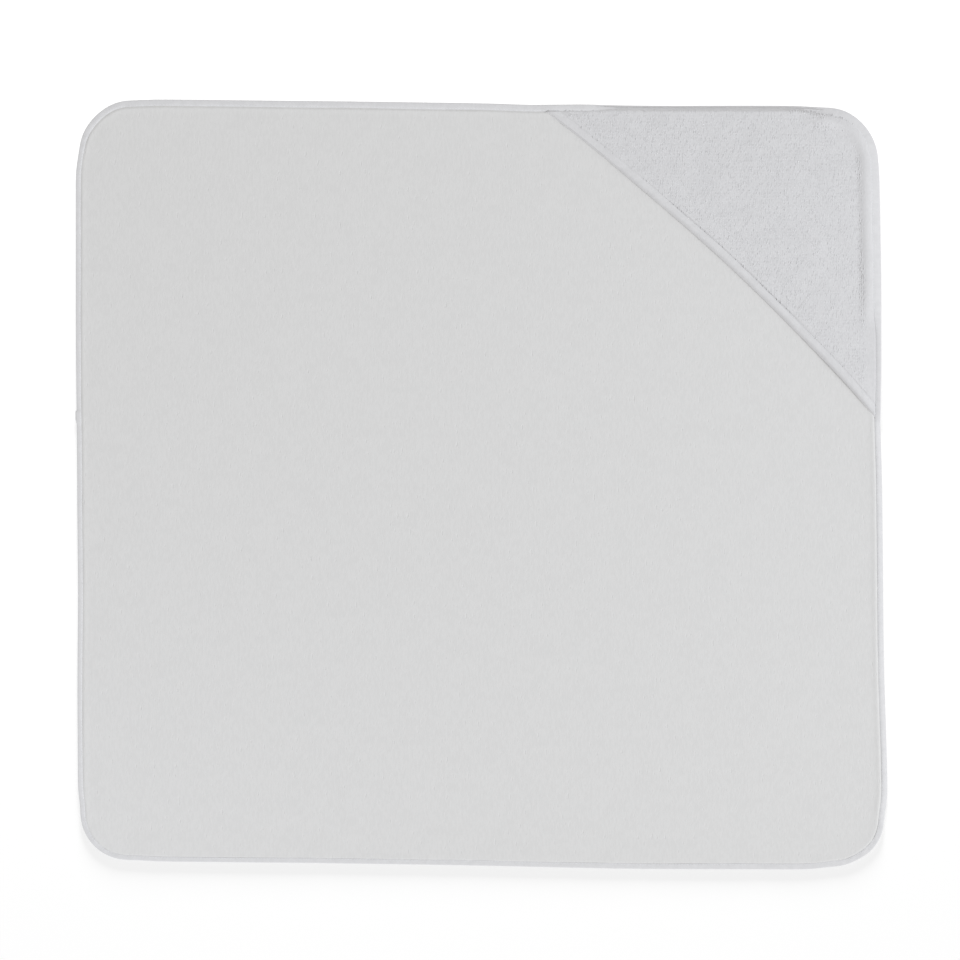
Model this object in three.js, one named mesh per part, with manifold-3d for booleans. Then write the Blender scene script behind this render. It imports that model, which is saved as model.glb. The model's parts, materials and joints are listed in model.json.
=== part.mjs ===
// A hooded baby towel laid out flat: a panel of towelling with a triangular hood sewn over one corner,
// a folded cotton tape bound round its whole edge and a second tape bound over the hood's mouth.
// Millimetres, +Z up. The origin is on the underside, in the middle of the panel, and the hooded
// corner points to +X +Y. The cloth bends along one line beside the hood, so each piece that crosses
// that line is cut in two there, and the two halves sit either side of the fold's hinge axis.
import * as THREE from "three";
import { mergeVertices } from "three/addons/utils/BufferGeometryUtils.js";
import Module from "manifold-3d";

// Panel
const TOWEL_LENGTH = 800; // along X
const TOWEL_WIDTH = 760; // along Y
const CORNER_RADIUS = 50;
const PANEL_THICKNESS = 3.2; // the pile standing free
const PANEL_RIM = 1.2; // the same cloth pressed flat inside the edge binding

// Hood
const HOOD_LEG_TOP = 340; // from the towel's corner along the +Y edge
const HOOD_LEG_SIDE = 316; // from the towel's corner along the +X edge
const HOOD_THICKNESS = 2.6;
const HOOD_RIM = 1.2; // the hood's cloth pressed flat inside a binding
const MOUTH_BOW = 9; // how far the mouth's middle is drawn in towards the corner
const HOOD_LIFT = 6; // how far the hood's cloth stands off the panel, away from its sewn sides
const LIFT_RUN = 110; // over which it rises from a sewn side

// Bindings: cotton tape folded round the raw edge, with one leaf above and one below
const TAPE_THICKNESS = 0.9;
const EDGE_TAPE_WIDTH = 7;
const MOUTH_TAPE_WIDTH = 10;
const LAP_LENGTH = 14; // where the edge tape's folded end lies over its beginning
const LAP_HEIGHT = 0.6;
const LAP_PLACE = 62; // along Y on the -X edge

// Lockstitched seams: a needle thread above and a bobbin thread below, each drawn into the tape
const THREAD_WIDTH = 0.6;
const THREAD_HEIGHT = 0.3;
const SEAM_FROM_TAPE_EDGE = 1.5;

// Clearances and the fold
const FIT_GAP = 0.3; // between pieces that lie against each other
const FOLD_OFFSET = 14; // from the line between the mouth's ends out to the fold
const RIM_OVERLAP = 2; // how far a pressed rim runs into the full thickness of its own cloth
const ARC_STEPS = 8;
const MOUTH_STEPS = 22;
const HOOD_ROWS = 12;
const BEYOND = 60; // how far a cutting solid reaches past what it cuts

// Levels above the floor, and the depth of a tape's leaf or fold measured from its outer face
const insideTape = TAPE_THICKNESS + FIT_GAP;
const edgeTapeHeight = 2 * insideTape + PANEL_RIM;
const hoodBottom = PANEL_THICKNESS + FIT_GAP;
const hoodTapeHeight = hoodBottom + HOOD_RIM + insideTape;
const mouthTapeTop = hoodBottom + 2 * insideTape + HOOD_RIM;
const threadDepth = THREAD_HEIGHT + FIT_GAP;

const wasm = await Module();
wasm.setup();

function toSolid(geometry) {
  geometry.deleteAttribute("normal");
  geometry.deleteAttribute("uv");
  const merged = mergeVertices(geometry, 1e-4);
  return new wasm.Manifold(new wasm.Mesh({
    numProp: 3,
    vertProperties: merged.attributes.position.array,
    triVerts: new Uint32Array(merged.index.array),
  }));
}

function toGeometry(solid) {
  const mesh = solid.getMesh();
  const geometry = new THREE.BufferGeometry();
  geometry.setAttribute("position", new THREE.BufferAttribute(mesh.vertProperties, 3));
  geometry.setIndex(new THREE.BufferAttribute(mesh.triVerts, 1));
  geometry.computeVertexNormals();
  return geometry;
}

// The towel's outline, drawn in by the same amount all round.
function outline(inset) {
  const x = TOWEL_LENGTH / 2 - CORNER_RADIUS;
  const y = TOWEL_WIDTH / 2 - CORNER_RADIUS;
  const shape = new THREE.Shape();
  [[x, y], [-x, y], [-x, -y], [x, -y]].forEach(([centreX, centreY], turn) => {
    const start = turn * Math.PI / 2;
    shape.absarc(centreX, centreY, CORNER_RADIUS - inset, start, start + Math.PI / 2);
  });
  return shape;
}

function slab(shape, bottom, top) {
  const geometry = new THREE.ExtrudeGeometry(shape, {
    depth: top - bottom,
    bevelEnabled: false,
    curveSegments: ARC_STEPS,
  });
  geometry.translate(0, 0, bottom);
  return toSolid(geometry);
}

// A ring that follows the towel's edge between two insets.
function band(outerInset, innerInset, bottom, top) {
  const shape = outline(outerInset);
  shape.holes.push(outline(innerInset));
  return slab(shape, bottom, top);
}

// The mouth's own frame: X runs along the line between its ends, from the +Y edge to the +X edge,
// Y points into the corner, and the origin is the middle of that line.
const mouthLength = Math.hypot(HOOD_LEG_TOP, HOOD_LEG_SIDE);
const hoodDepth = HOOD_LEG_TOP * HOOD_LEG_SIDE / mouthLength;
const alongMouth = new THREE.Vector3(HOOD_LEG_TOP, -HOOD_LEG_SIDE, 0).normalize();
const intoCorner = new THREE.Vector3(HOOD_LEG_SIDE, HOOD_LEG_TOP, 0).normalize();
const mouthFrame = new THREE.Matrix4()
  .makeBasis(alongMouth, intoCorner, new THREE.Vector3(0, 0, 1))
  .setPosition((TOWEL_LENGTH - HOOD_LEG_TOP) / 2, (TOWEL_WIDTH - HOOD_LEG_SIDE) / 2, 0);

// The hood's cloth rises from the two sides that are sewn down, and lies flat at them.
const clothInset = EDGE_TAPE_WIDTH + FIT_GAP;
function lift(x, y) {
  const rise = (distance) => Math.sin(Math.PI / 2 * THREE.MathUtils.clamp(distance / LIFT_RUN, 0, 1));
  return HOOD_LIFT * rise(TOWEL_LENGTH / 2 - clothInset - x) * rise(TOWEL_WIDTH / 2 - clothInset - y);
}

// A strip of the hood between two distances from its mouth's edge, bowed and raised as the hood lies.
function hoodStrip(near, far, bottom, top, rows = 1) {
  const geometry = new THREE.BoxGeometry(
    mouthLength + 2 * BEYOND, far - near, top - bottom, MOUTH_STEPS, rows, 1,
  );
  geometry.translate(0, (near + far) / 2, (bottom + top) / 2);
  const position = geometry.attributes.position;
  const point = new THREE.Vector3();
  for (let i = 0; i < position.count; i += 1) {
    point.fromBufferAttribute(position, i);
    point.y += MOUTH_BOW * (1 - (2 * point.x / mouthLength) ** 2);
    point.applyMatrix4(mouthFrame);
    position.setXYZ(i, point.x, point.y, point.z + lift(point.x, point.y));
  }
  return toSolid(geometry);
}

// Everything on one side of the fold line, short of the line by half the gap.
function besideFold(side) {
  const reach = TOWEL_LENGTH + TOWEL_WIDTH;
  const geometry = new THREE.BoxGeometry(2 * reach, reach, BEYOND);
  geometry.translate(0, side * (reach + FIT_GAP) / 2 - FOLD_OFFSET, 0);
  geometry.applyMatrix4(mouthFrame);
  return toSolid(geometry);
}
const towelSide = besideFold(-1);
const cornerSide = besideFold(1);

// Panel: full pile inside the binding, and a pressed rim that the binding holds.
function panel() {
  const pile = slab(outline(clothInset), 0, PANEL_THICKNESS);
  const rim = band(insideTape, clothInset + RIM_OVERLAP, insideTape, insideTape + PANEL_RIM);
  return pile.add(rim);
}

// Edge binding: a tape folded round the rim, with a groove for the thread in each leaf.
const edgeSeam = EDGE_TAPE_WIDTH - SEAM_FROM_TAPE_EDGE;
function seamBand(width, bottom, top) {
  return band(edgeSeam - width / 2, edgeSeam + width / 2, bottom, top);
}
function edgeBinding(height) {
  const leaves = band(0, EDGE_TAPE_WIDTH, 0, height);
  const fold = band(TAPE_THICKNESS, clothInset + RIM_OVERLAP, TAPE_THICKNESS, height - TAPE_THICKNESS);
  const grooveWidth = THREAD_WIDTH + 2 * FIT_GAP;
  const needleGroove = seamBand(grooveWidth, height - threadDepth, height + BEYOND);
  const bobbinGroove = seamBand(grooveWidth, -BEYOND, threadDepth);
  const endLap = new THREE.BoxGeometry(EDGE_TAPE_WIDTH, LAP_LENGTH, LAP_HEIGHT + TAPE_THICKNESS);
  endLap.translate(
    (EDGE_TAPE_WIDTH - TOWEL_LENGTH) / 2, LAP_PLACE, height + (LAP_HEIGHT - TAPE_THICKNESS) / 2,
  );
  return leaves.subtract(fold).add(toSolid(endLap)).subtract(needleGroove).subtract(bobbinGroove);
}

// Hood: full pile, two pressed rims in the edge binding, and a pressed rim in the mouth binding.
const mouthClothNear = MOUTH_TAPE_WIDTH + FIT_GAP;
function hood() {
  const inside = slab(outline(clothInset), 0, BEYOND);
  const pile = hoodStrip(
    mouthClothNear, hoodDepth + BEYOND, hoodBottom, hoodBottom + HOOD_THICKNESS, HOOD_ROWS,
  ).intersect(inside);
  const mouthRimBottom = hoodBottom + insideTape;
  const mouthRim = hoodStrip(
    insideTape, mouthClothNear + RIM_OVERLAP, mouthRimBottom, mouthRimBottom + HOOD_RIM,
  ).intersect(inside);
  const sideRims = band(insideTape, clothInset + RIM_OVERLAP, hoodBottom, hoodBottom + HOOD_RIM)
    .intersect(hoodStrip(mouthClothNear, hoodDepth + BEYOND, -BEYOND, BEYOND));
  return pile.add(mouthRim).add(sideRims);
}

// Mouth binding: a tape folded round the hood's free edge, which ends at the edge binding.
const mouthSeam = MOUTH_TAPE_WIDTH - SEAM_FROM_TAPE_EDGE;
function mouthSeamStrip(width, bottom, top) {
  return hoodStrip(mouthSeam - width / 2, mouthSeam + width / 2, bottom, top)
    .intersect(slab(outline(clothInset), -BEYOND, BEYOND));
}
function mouthBinding() {
  const leaves = hoodStrip(0, MOUTH_TAPE_WIDTH, hoodBottom, mouthTapeTop)
    .intersect(slab(outline(clothInset), 0, BEYOND));
  const fold = hoodStrip(
    TAPE_THICKNESS, mouthClothNear + RIM_OVERLAP,
    hoodBottom + TAPE_THICKNESS, mouthTapeTop - TAPE_THICKNESS,
  );
  const grooveWidth = THREAD_WIDTH + 2 * FIT_GAP;
  const needleGroove = mouthSeamStrip(grooveWidth, mouthTapeTop - threadDepth, mouthTapeTop + BEYOND);
  const bobbinGroove = mouthSeamStrip(grooveWidth, hoodBottom - BEYOND, hoodBottom + threadDepth);
  return leaves.subtract(fold).subtract(needleGroove).subtract(bobbinGroove);
}

function fabric(color, roughness) {
  return new THREE.MeshStandardMaterial({ color, roughness, metalness: 0 });
}
const SHEARED_TERRY = fabric(0xd6d7d8, 0.95);
const LOOP_TERRY = fabric(0xd2d3d5, 1);
const COTTON_TAPE = fabric(0xd9dadc, 0.85);
const COTTON_THREAD = fabric(0xcfd0d2, 0.6);

const group = new THREE.Group();
function place(name, solid, material) {
  const mesh = new THREE.Mesh(toGeometry(solid), material.clone());
  mesh.name = name;
  group.add(mesh);
}

const panelCloth = panel();
place("towel_panel", panelCloth.intersect(towelSide), SHEARED_TERRY);
place("towel_panel_hood_corner", panelCloth.intersect(cornerSide), SHEARED_TERRY);

place("edge_binding", edgeBinding(edgeTapeHeight).intersect(towelSide), COTTON_TAPE);
place("edge_binding_hood_corner", edgeBinding(hoodTapeHeight).intersect(cornerSide), COTTON_TAPE);

function edgeThread(height) {
  return seamBand(THREAD_WIDTH, height - THREAD_HEIGHT, height);
}
place("edge_needle_thread", edgeThread(edgeTapeHeight).intersect(towelSide), COTTON_THREAD);
place("edge_bobbin_thread", edgeThread(THREAD_HEIGHT).intersect(towelSide), COTTON_THREAD);
place("edge_needle_thread_hood_corner", edgeThread(hoodTapeHeight).intersect(cornerSide), COTTON_THREAD);
place("edge_bobbin_thread_hood_corner", edgeThread(THREAD_HEIGHT).intersect(cornerSide), COTTON_THREAD);

place("hood", hood(), LOOP_TERRY);
place("hood_mouth_binding", mouthBinding(), COTTON_TAPE);

function mouthThread(top) {
  return mouthSeamStrip(THREAD_WIDTH, top - THREAD_HEIGHT, top);
}
place("mouth_needle_thread", mouthThread(mouthTapeTop), COTTON_THREAD);
place("mouth_bobbin_thread", mouthThread(hoodBottom + THREAD_HEIGHT), COTTON_THREAD);

export default group;
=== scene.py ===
import json
import math

import bpy
import numpy as np
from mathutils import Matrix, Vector


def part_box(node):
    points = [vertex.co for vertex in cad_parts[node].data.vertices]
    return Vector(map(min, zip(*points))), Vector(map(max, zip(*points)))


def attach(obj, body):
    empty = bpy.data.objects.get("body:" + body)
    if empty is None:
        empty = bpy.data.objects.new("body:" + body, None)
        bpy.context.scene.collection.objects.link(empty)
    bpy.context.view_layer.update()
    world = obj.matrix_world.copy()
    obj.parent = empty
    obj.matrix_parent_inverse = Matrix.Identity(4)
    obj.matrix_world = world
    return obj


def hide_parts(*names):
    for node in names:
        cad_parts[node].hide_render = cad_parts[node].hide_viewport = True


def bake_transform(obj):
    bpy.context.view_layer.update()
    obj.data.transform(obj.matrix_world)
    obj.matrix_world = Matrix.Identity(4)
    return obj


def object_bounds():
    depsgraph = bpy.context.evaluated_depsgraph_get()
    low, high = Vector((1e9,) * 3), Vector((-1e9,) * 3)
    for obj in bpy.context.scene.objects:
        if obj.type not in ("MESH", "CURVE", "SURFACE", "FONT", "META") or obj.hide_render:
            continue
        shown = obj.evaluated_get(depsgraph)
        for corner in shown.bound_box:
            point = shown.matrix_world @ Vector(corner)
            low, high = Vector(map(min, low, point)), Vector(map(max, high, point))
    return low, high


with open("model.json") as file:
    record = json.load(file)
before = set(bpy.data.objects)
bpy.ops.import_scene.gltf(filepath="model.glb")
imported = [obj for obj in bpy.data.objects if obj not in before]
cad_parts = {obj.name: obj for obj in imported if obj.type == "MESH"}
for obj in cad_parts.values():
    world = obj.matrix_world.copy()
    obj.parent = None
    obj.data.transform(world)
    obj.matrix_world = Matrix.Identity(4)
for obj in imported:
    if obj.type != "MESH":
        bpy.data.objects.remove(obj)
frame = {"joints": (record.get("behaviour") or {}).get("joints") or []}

MM = 0.001
cad_low, cad_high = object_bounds()
half_length, half_width = cad_high.x, cad_high.y

# Camera: straight above the towel's middle on a long lens, so that the laid cloth shows with almost
# no perspective and a margin of floor round it.
CAMERA_HEIGHT = 2.3
CAMERA_ASIDE = (1 * MM, 3.5 * MM)
VIEW_MARGIN = 1.193
SENSOR = 36
camera_data = bpy.data.cameras.new("Camera")
camera_data.sensor_width = SENSOR
camera_data.lens = SENSOR * CAMERA_HEIGHT / (VIEW_MARGIN * 2 * half_length)
camera = bpy.data.objects.new("Camera", camera_data)
camera.location = (*CAMERA_ASIDE, CAMERA_HEIGHT)
bpy.context.scene.collection.objects.link(camera)
bpy.context.scene.camera = camera

# Floor and light: a matt opal light table in an even white room. A large, slightly cool softbox over the
# towel's +X -Y corner and two weak fills light the towel alone, so that its far edges and seams fall into a
# thin shade. A low softbox behind it lights the table alone and lays a soft shadow along its -Y edge.
bpy.context.scene.view_settings.view_transform = "Standard"


def linear(hex_colour):
    """sRGB hex to linear RGBA."""
    channels = [int(hex_colour[i:i + 2], 16) / 255 for i in (1, 3, 5)]
    return [c / 12.92 if c <= 0.04045 else ((c + 0.055) / 1.055) ** 2.4 for c in channels] + [1.0]


def add_node(tree, kind, inputs=None, **settings):
    """Adds a node, sets what it holds, and links or sets each input, by name or number."""
    node = tree.nodes.new(kind)
    for name, value in settings.items():
        setattr(node, name, value)
    for key, value in (inputs or {}).items():
        if isinstance(value, bpy.types.NodeSocket):
            tree.links.new(value, node.inputs[key])
        else:
            node.inputs[key].default_value = value
    return node


def new_material(name):
    """An empty material and its Principled shader, ready for its maps."""
    material = bpy.data.materials.new(name)
    material.use_nodes = True
    material.node_tree.nodes.clear()
    shader = add_node(material.node_tree, "ShaderNodeBsdfPrincipled")
    add_node(material.node_tree, "ShaderNodeOutputMaterial", {"Surface": shader.outputs["BSDF"]})
    return material, material.node_tree, shader


FLOOR_SIZE = 60.0
FLOOR_GLOW = 0.50
ROOM_LIGHT = 0.62

floor_material, _, floor_shader = new_material("opal_light_table")
floor_shader.inputs["Base Color"].default_value = linear("#CDCDCD")
floor_shader.inputs["Roughness"].default_value = 0.9
floor_shader.inputs["Specular IOR Level"].default_value = 0.1
floor_shader.inputs["Emission Color"].default_value = (1, 1, 1, 1)
floor_shader.inputs["Emission Strength"].default_value = FLOOR_GLOW
floor_half = FLOOR_SIZE / 2
floor_corners = [(x * floor_half, y * floor_half, 0) for x, y in ((-1, -1), (1, -1), (1, 1), (-1, 1))]
floor_mesh = bpy.data.meshes.new("floor")
floor_mesh.from_pydata(floor_corners, [], [(0, 1, 2, 3)])
floor_mesh.materials.append(floor_material)
floor = bpy.data.objects.new("floor", floor_mesh)
bpy.context.scene.collection.objects.link(floor)

world = bpy.data.worlds.new("white_room")
world.use_nodes = True
world.node_tree.nodes["Background"].inputs["Color"].default_value = (1, 1, 1, 1)
world.node_tree.nodes["Background"].inputs["Strength"].default_value = ROOM_LIGHT
bpy.context.scene.world = world

floor_only = bpy.data.collections.new("lit_floor")
floor_only.objects.link(floor)
all_but_floor = bpy.data.collections.new("lit_towel")
all_but_floor.objects.link(floor)
all_but_floor.collection_objects[0].light_linking.link_state = "EXCLUDE"
DAYLIGHT, WHITE = (0.955, 0.98, 1.0), (1.0, 1.0, 1.0)
SKYLIGHT, PALE_SKYLIGHT = (0.78, 0.87, 1.0), (0.80, 0.87, 1.0)


def add_softbox(name, place, size, power, colour, receivers):
    """A square softbox at place, facing the middle of the towel, that lights only its receivers."""
    data = bpy.data.lights.new(name, "AREA")
    data.size = size
    data.energy = power
    data.color = colour
    box = bpy.data.objects.new(name, data)
    box.location = place
    box.rotation_euler = Vector(place).to_track_quat("Z", "Y").to_euler()
    bpy.context.scene.collection.objects.link(box)
    box.light_linking.receiver_collection = receivers


add_softbox("key_softbox", (6.60, -4.50, 5.78), 3.6, 400, DAYLIGHT, all_but_floor)
add_softbox("near_fill", (-0.80, -0.80, 0.50), 0.4, 0.70, PALE_SKYLIGHT, all_but_floor)
add_softbox("side_fill", (1.25, 0.30, 0.85), 0.5, 1.30, SKYLIGHT, all_but_floor)
add_softbox("table_softbox", (0.0, 3.6, 0.75), 0.9, 180, WHITE, floor_only)

# Towel panel: one piece of cotton towelling with rounded corners, its pile sheared short and soft. It is
# cut straight but lies a little askew, its rim pressed flat where the edge tape is folded over it and sewn.
# Lengths inside the functions that shape the cloth are in mm where a last factor MM turns them to metres.
CORNER_RADIUS = 50 * MM
PANEL_EDGE = 1.5 * MM
PANEL_RIM_LOW, PANEL_RIM_HIGH = 1.2 * MM, 2.4 * MM
PANEL_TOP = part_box("towel_panel")[1].z
HOODED_TAPE_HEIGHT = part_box("edge_binding_hood_corner")[1].z
TAPE_INSET = 5.6 * MM
SEAM_FROM_TAPE_EDGE = 1.1 * MM
SEAM_INSET = TAPE_INSET - SEAM_FROM_TAPE_EDGE
SEAM_PUFF = 0.32 * MM
PANEL_STEP = 4.2 * MM
PANEL_EDGE_STEP = 1.3 * MM
PANEL_EDGE_ZONE = 16 * MM
NO_LIMIT = 20 * MM

fold = frame["joints"][0]
fold_point = Vector(fold["pos_m"])
along_mouth = Vector(fold["axis"]).normalized()
into_corner = Vector((-along_mouth.y, along_mouth.x, 0))
FOLD_TO_MOUTH = 14 * MM
mouth_centre = fold_point + FOLD_TO_MOUTH * into_corner
mouth_half = (half_width - mouth_centre.y) / -along_mouth.y
mouth_ends = [mouth_centre - mouth_half * along_mouth, mouth_centre + mouth_half * along_mouth]


def smooth(value, low, high):
    """0 below low, 1 above high, and an even curve between them."""
    t = np.clip((value - low) / (high - low), 0, 1)
    return t * t * (3 - 2 * t)


def mound(value, middle, width):
    """1 at middle, falling evenly to almost nothing two widths away."""
    return np.exp(-((value - middle) / width) ** 2)


def near_side(value, half, start, full):
    """0 further than start mm from the end of a half side, and 1 nearer to it than full mm."""
    return smooth(value, half - start * MM, half - full * MM)


def ripple(x, y, size, seed):
    """Smooth random relief from -1 to 1, in swells about size across."""
    lattice = np.random.default_rng(seed).uniform(-1, 1, (64, 64))
    column, row = np.floor(x / size).astype(int), np.floor(y / size).astype(int)
    across, up = smooth(x / size - column, 0, 1), smooth(y / size - row, 0, 1)

    def knot(i, j):
        return lattice[(column + i) % 64, (row + j) % 64]

    low = knot(0, 0) * (1 - across) + knot(1, 0) * across
    high = knot(0, 1) * (1 - across) + knot(1, 1) * across
    return low * (1 - up) + high * up


def edge_depth(x, y):
    """How far inside the towel's cut outline a point of the flat cloth is."""
    past_x = np.abs(x) - (half_length - CORNER_RADIUS)
    past_y = np.abs(y) - (half_width - CORNER_RADIUS)
    beyond = np.hypot(np.maximum(past_x, 0), np.maximum(past_y, 0))
    return CORNER_RADIUS - beyond - np.minimum(np.maximum(past_x, past_y), 0)


def laid(x, y):
    """Where a point of the flat cloth lies: a little out of square, with edges that wander, corners that the
    tape has gathered in, and sides drawn in where the hood's seams and its taped mouth pull on them."""
    u, v = x / half_length, y / half_width

    # How far the +X side has moved: it leans, bulges beside the hood and is drawn in before its corners.
    right = 0.4 - 4.2 * v + 1.6 * smooth(-v, 0.4, 0.8) + 0.8 * mound(y, 215 * MM, 70 * MM)
    right = right - 1.3 * smooth(np.abs(v), 0.80, 0.90) - 1.9 * mound(v, -0.87, 0.05)

    # How far the -X side has: it leans less, and is drawn in below the tape's lap and before its corners.
    left = 0.6 - 0.9 * v + 1.1 * mound(y, -120 * MM, 70 * MM) + 2.4 * smooth(v, 0.80, 0.89)
    left = left + 1.4 * smooth(-v, 0.80, 0.88) + 0.9 * mound(np.abs(v), 0.87, 0.05)
    to_x = (1 + u) / 2 * right + (1 - u) / 2 * left + 0.7 * ripple(x, y, 150 * MM, 11)

    # The +Y and -Y sides lean too, hang in a little at their middles, and are drawn in before the corners.
    to_y = -0.25 - 4.1 * u - 1.45 * v + 0.6 * u * v + 0.7 * ripple(x, y, 150 * MM, 12)
    to_y = to_y - 1.5 * mound(x, 170 * MM, 90 * MM) * smooth(v, 0.5, 1)
    to_y = to_y - 1.5 * mound(x, 150 * MM, 185 * MM) * smooth(-v, 0.5, 1)
    to_y = to_y + (1.0 * smooth(u, 0.80, 0.88) + 1.5 * mound(u, 0.93, 0.035)) * smooth(-v, 0.5, 1)
    drawn_in = (1.4 + 0.4 * np.sign(u)) * mound(np.abs(u), 0.875, 0.05) * smooth(np.abs(v), 0.5, 1)
    to_y = to_y - np.sign(v) * drawn_in

    # The tape gathers each rounded corner in towards the middle.
    at_corner = near_side(np.abs(x), half_length, 60, 15) * near_side(np.abs(y), half_width, 60, 15)
    gathered = (1.3 + 0.25 * u + 0.55 * v - 0.7 * u * v) * at_corner
    to_x = to_x - gathered * np.sign(x)
    to_y = to_y - gathered * np.sign(y)

    # The mouth's tape pulls on the sides where it ends in them.
    for end in mouth_ends:
        pull = 1.6 * np.exp(-((x - end.x) ** 2 + (y - end.y) ** 2) / (38 * MM) ** 2)
        to_x = to_x - pull * into_corner.x
        to_y = to_y - pull * into_corner.y
    return x + to_x * MM, y + to_y * MM


def from_mouth(x, y):
    """A point's place along the straight line between the mouth's ends, and how far past it into the corner
    it is."""
    across, up = x - mouth_centre.x, y - mouth_centre.y
    return across * along_mouth.x + up * along_mouth.y, across * into_corner.x + up * into_corner.y


def hood_share(x, y):
    """1 on the hood's side of its mouth and 0 on the bare panel, with a short slope between."""
    return smooth(from_mouth(x, y)[1], -3 * MM, 9 * MM)


def rolled_over(x, y):
    """1 along the hood's side on the towel's +Y edge, where the tape has rolled over to face outward."""
    along = smooth(x, 105 * MM, 145 * MM) * (1 - near_side(x, half_length, 80, 50))
    return along * near_side(y, half_width, 45, 20)


def turned_hem(x, y):
    """1 along the hood's side on the +X edge, where tape and hem make one smooth roll."""
    return near_side(x, half_length, 80, 50) * smooth(y, 150 * MM, 190 * MM)


def ironed(y):
    """1 along the towel's -Y edge, where tape and pile were pressed level."""
    return near_side(-y, half_width, 60, 25)


def tape_reach(x, y):
    """How far in the edge tape comes: more along the +Y edge and in the turned hem, less where it rolled
    over."""
    hem = turned_hem(x, y)
    wider = 1.5 * near_side(y, half_width, 60, 25) * (1 - hem) + 3.6 * hem
    return TAPE_INSET + (wider + 0.6 * x / half_length - 2.5 * rolled_over(x, y)) * MM


def squeeze(x, y):
    """How far the seam presses the layers together: harder where the tape has rolled over."""
    inside = smooth(edge_depth(x, y), tape_reach(x, y) - 1 * MM, tape_reach(x, y) + 2 * MM)
    return 1 - 0.25 * rolled_over(x, y) * (1 - inside)


def rolled_face(share_in):
    """How high the rolled-over tape's outer face has climbed at share_in of its width, in half heights."""
    return 0.15 + 1.85 * np.minimum(share_in, 1)


def under_roll(x, y, below):
    """The most that cloth inside the rolled-over tape can rise, so that it stays below its face."""
    share_in = edge_depth(x, y) / tape_reach(x, y)
    face = rolled_face(share_in) * squeeze(x, y) * HOODED_TAPE_HEIGHT / 2
    return face - below + NO_LIMIT * ((1 - rolled_over(x, y)) + smooth(share_in, 0.9, 1.4))


def panel_top(x, y):
    """Height of the pile: pressed in the tape, puffed up beside the seam, softly uneven elsewhere."""
    depth = edge_depth(x, y)
    beside = depth - tape_reach(x, y)
    free = smooth(beside + 0.7 * MM * ironed(y), -0.8 * MM, 0.9 * MM)
    nap = 0.06 * ripple(x, y, 7 * MM, 1) + 0.07 * ripple(x, y, 19 * MM, 2) + 0.10 * ripple(x, y, 70 * MM, 3)
    pucker = 0.5 * np.abs(ripple(x, y, 26 * MM, 4)) * np.exp(-beside.clip(0) / (17 * MM))
    puff = SEAM_PUFF * mound(beside, 1.8 * MM, 2.6 * MM) * (1 + 0.6 * near_side(x, half_length, 60, 15))
    level_rise = 0.30 * MM * np.exp(-beside.clip(0) / (15 * MM))
    puff += ironed(y) * (level_rise - puff)
    bare = 1 - hood_share(x, y)
    raised = PANEL_TOP - PANEL_RIM_HIGH + bare * (puff + (nap + pucker) * MM)
    return np.minimum((PANEL_RIM_HIGH + free * raised) * squeeze(x, y), under_roll(x, y, 1.1 * MM))


def panel_underside(x, y):
    """Height of the panel's other face: raised in the tape's fold, and on the table elsewhere."""
    low = PANEL_RIM_LOW * (1 - smooth(edge_depth(x, y), SEAM_INSET, 11.5 * MM)) * squeeze(x, y)
    return np.maximum(np.minimum(low, under_roll(x, y, 1.5 * MM)), 0)


def spaced_lines(half, inset):
    """Grid lines from one edge to the other: close together near the edges, wider between."""
    outer = half - inset
    fine = np.arange(0, PANEL_EDGE_ZONE, PANEL_EDGE_STEP)
    count = round(2 * (outer - PANEL_EDGE_ZONE) / PANEL_STEP)
    middle = np.linspace(-(outer - PANEL_EDGE_ZONE), outer - PANEL_EDGE_ZONE, count + 1)
    return np.concatenate([-outer + fine, middle, (outer - fine)[::-1]])


def round_corners(x, y):
    """Bends the square corners of a grid onto the outline's quarter circles."""
    middle_x, middle_y = half_length - CORNER_RADIUS, half_width - CORNER_RADIUS
    past_x, past_y = np.abs(x) - middle_x, np.abs(y) - middle_y
    corner = (past_x > 0) & (past_y > 0)
    pulled_in = np.maximum(past_x, past_y) / np.maximum(np.hypot(past_x, past_y), 1e-9)
    round_x = np.sign(x) * (middle_x + past_x * pulled_in)
    round_y = np.sign(y) * (middle_y + past_y * pulled_in)
    return np.where(corner, round_x, x), np.where(corner, round_y, y)


def new_piece(name, points, faces, corner_uvs, material):
    """A mesh object from points, faces and one UV for each face corner, with its faces smooth."""
    mesh = bpy.data.meshes.new(name)
    mesh.from_pydata(points.tolist(), [], faces.tolist())
    weave = mesh.uv_layers.new(name="cloth")
    weave.uv.foreach_set("vector", corner_uvs.astype(np.float32).ravel())
    mesh.polygons.foreach_set("use_smooth", np.ones(len(faces), bool))
    mesh.materials.append(material)
    piece = bpy.data.objects.new(name, mesh)
    bpy.context.scene.collection.objects.link(piece)
    return piece


def sheet_piece(name, top, underside, flat, material):
    """A closed sheet of cloth from two grids of points, joined round their edge; flat is each point's
    place in the cloth before it was laid, for its weave."""
    rows, columns = top.shape[:2]
    index = np.arange(rows * columns).reshape(rows, columns)
    quads = np.stack([index[:-1, :-1], index[1:, :-1], index[1:, 1:], index[:-1, 1:]], -1).reshape(-1, 4)
    rim = np.concatenate([index[0, :-1], index[:-1, -1], index[-1, :0:-1], index[:0:-1, 0]])
    following = np.roll(rim, -1)
    count = rows * columns
    walls = np.stack([rim, following, following + count, rim + count], -1)
    faces = np.concatenate([quads, quads[:, ::-1] + count, walls])
    points = np.concatenate([top.reshape(-1, 3), underside.reshape(-1, 3)])
    uv = np.tile(flat.reshape(-1, 2), (2, 1))
    return new_piece(name, points, faces, uv[faces.ravel()], material)


PATCH_SIZE = 22 * MM
STREAK_WIDTH, STREAK_LENGTH = 2.6 * MM, 9 * MM


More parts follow.
